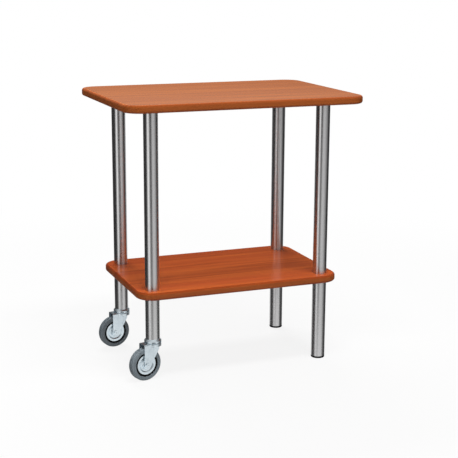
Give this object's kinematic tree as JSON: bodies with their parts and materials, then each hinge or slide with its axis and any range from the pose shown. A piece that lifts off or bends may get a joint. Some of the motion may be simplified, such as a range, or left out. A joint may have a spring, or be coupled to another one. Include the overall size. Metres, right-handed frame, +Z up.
{
  "type": "gueridon trolley",
  "caption": "Two-tier serving trolley: rounded cherry-toned boards on round satin steel legs, swivel castors at one end and glide feet at the other.",
  "frame": {"origin": "on the floor under the middle of the top board", "axes": "+Z up, +X along the long side towards the glide feet, -X towards the castors, -Y towards the front as pictured"},
  "size_m": [0.7, 0.5, 0.78],
  "materials": {
    "cherry_laminate": "satin cherry-toned wood grain with rounded edges",
    "satin_steel": "satin polished tube",
    "zinc_plate": "bright zinc plated pressed sheet",
    "hardware_steel": "plain turned steel",
    "ball_steel": "polished bearing balls",
    "brass": "turned threaded insert",
    "grey_rubber": "matt grey rubber with fine tread grooves",
    "black_plastic": "moulded black plastic"
  },
  "bodies": {
    "trolley": {"top_board": "cherry_laminate", "lower_shelf": "cherry_laminate", "upper_tube_castor_front": "satin_steel", "upper_tube_castor_back": "satin_steel", "upper_tube_foot_front": "satin_steel", "upper_tube_foot_back": "satin_steel", "castor_tube_front": "satin_steel", "castor_tube_back": "satin_steel", "foot_tube_front": "satin_steel", "foot_tube_back": "satin_steel", "top_studs": "hardware_steel", "top_plugs": "hardware_steel", "shelf_upper_plugs": "hardware_steel", "shelf_lower_plugs": "hardware_steel", "shelf_studs": "hardware_steel", "castor_plugs": "hardware_steel", "top_inserts": "brass", "glide_front": "black_plastic", "glide_back": "black_plastic", "stem_front": "hardware_steel", "swivel_head_front": "zinc_plate", "lower_race_front": "hardware_steel", "stem_back": "hardware_steel", "swivel_head_back": "zinc_plate", "lower_race_back": "hardware_steel"},
    "fork_front": {"head_balls_front": "ball_steel", "race_balls_front": "ball_steel", "fork_front": "zinc_plate", "axle_front": "zinc_plate", "axle_nut_front": "zinc_plate"},
    "wheel_front": {"wheel_rim_front": "black_plastic", "hub_discs_front": "zinc_plate", "bush_front": "hardware_steel", "tyre_front": "grey_rubber"},
    "fork_back": {"head_balls_back": "ball_steel", "race_balls_back": "ball_steel", "fork_back": "zinc_plate", "axle_back": "zinc_plate", "axle_nut_back": "zinc_plate"},
    "wheel_back": {"wheel_rim_back": "black_plastic", "hub_discs_back": "zinc_plate", "bush_back": "hardware_steel", "tyre_back": "grey_rubber"}
  },
  "joints": [
    {"name": "swivel_front", "type": "hinge", "parent": "trolley", "child": "fork_front", "pos_m": [-0.256, -0.1545, 0.1], "axis": [0, 0, 1], "continuous": true},
    {"name": "roll_front", "type": "hinge", "parent": "fork_front", "child": "wheel_front", "pos_m": [-0.28171, -0.16091, 0.047], "axis": [0.2419, -0.9703, 0], "continuous": true},
    {"name": "swivel_back", "type": "hinge", "parent": "trolley", "child": "fork_back", "pos_m": [-0.256, 0.1545, 0.1], "axis": [0, 0, 1], "continuous": true},
    {"name": "roll_back", "type": "hinge", "parent": "fork_back", "child": "wheel_back", "pos_m": [-0.28217, 0.15035, 0.047], "axis": [0.1564, -0.9877, 0], "continuous": true}
  ]
}
